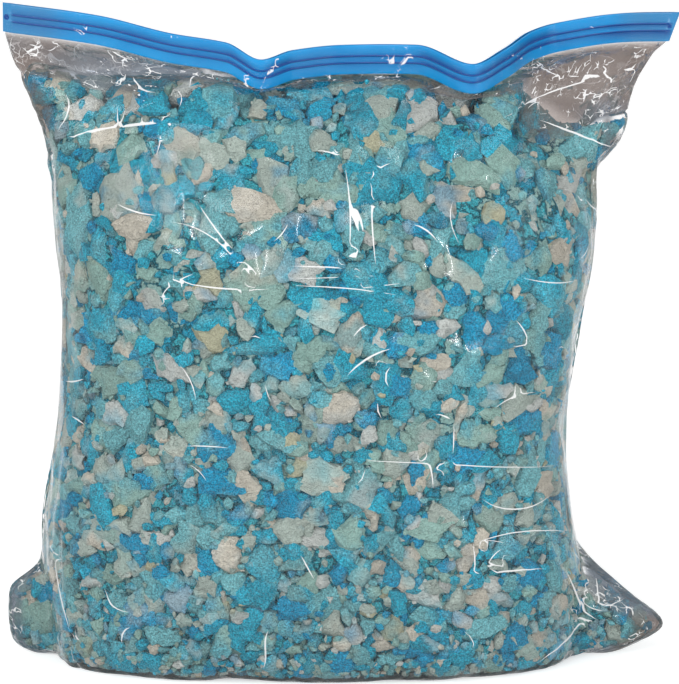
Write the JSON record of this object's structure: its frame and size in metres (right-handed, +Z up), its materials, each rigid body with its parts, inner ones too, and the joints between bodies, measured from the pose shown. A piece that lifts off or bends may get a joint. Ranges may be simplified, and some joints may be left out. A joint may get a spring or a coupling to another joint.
{
  "type": "bag of shredded memory foam",
  "caption": "Clear zip-top film bag stuffed full of shredded memory foam in mixed blue, aqua, mint and cream, standing on its flattened base.",
  "frame": {"origin": "centre of the bag's outline, on the surface that it stands on", "axes": "+X along the mouth, to the right as seen from the front; +Y from the front to the back; +Z up"},
  "size_m": [0.358, 0.166, 0.3517],
  "materials": {
    "film_clear": "clear, glossy and crinkled polyethylene film",
    "zip_blue": "blue tinted polyethylene strip, satin",
    "foam_mixed": "packed torn foam in mixed shades, matt and open-celled",
    "foam_blue": "torn open-cell foam, matt",
    "foam_aqua": "torn open-cell foam, matt",
    "foam_pale_aqua": "torn open-cell foam, matt",
    "foam_mint": "torn open-cell foam, matt",
    "foam_cream": "torn open-cell foam, matt"
  },
  "bodies": {
    "root": {"film_bag": "film_clear", "zip_strip_front": "zip_blue", "zip_strip_back": "zip_blue", "foam_fill": "foam_mixed", "foam_chunk_01": "foam_blue", "foam_chunk_02": "foam_mint", "foam_chunk_03": "foam_aqua", "foam_chunk_04": "foam_cream", "foam_chunk_05": "foam_pale_aqua", "foam_chunk_06": "foam_aqua", "foam_chunk_07": "foam_cream", "foam_chunk_08": "foam_pale_aqua", "foam_chunk_09": "foam_blue", "foam_chunk_10": "foam_mint", "foam_chunk_11": "foam_pale_aqua", "foam_chunk_12": "foam_blue", "foam_chunk_13": "foam_mint", "foam_chunk_14": "foam_aqua", "foam_chunk_15": "foam_cream", "foam_chunk_16": "foam_mint", "foam_chunk_17": "foam_aqua", "foam_chunk_18": "foam_cream", "foam_chunk_19": "foam_pale_aqua", "foam_chunk_20": "foam_blue", "foam_chunk_21": "foam_cream", "foam_chunk_22": "foam_pale_aqua", "foam_chunk_23": "foam_blue", "foam_chunk_24": "foam_mint", "foam_chunk_25": "foam_aqua", "foam_chunk_26": "foam_blue", "foam_chunk_27": "foam_mint", "foam_chunk_28": "foam_aqua", "foam_chunk_29": "foam_cream", "foam_chunk_30": "foam_pale_aqua", "foam_chunk_31": "foam_aqua", "foam_chunk_32": "foam_cream", "foam_chunk_33": "foam_pale_aqua", "foam_chunk_34": "foam_blue", "foam_chunk_35": "foam_mint", "foam_chunk_36": "foam_pale_aqua", "foam_chunk_37": "foam_blue", "foam_chunk_38": "foam_mint", "foam_chunk_39": "foam_aqua", "foam_chunk_40": "foam_cream", "foam_chunk_41": "foam_mint"}
  },
  "joints": []
}
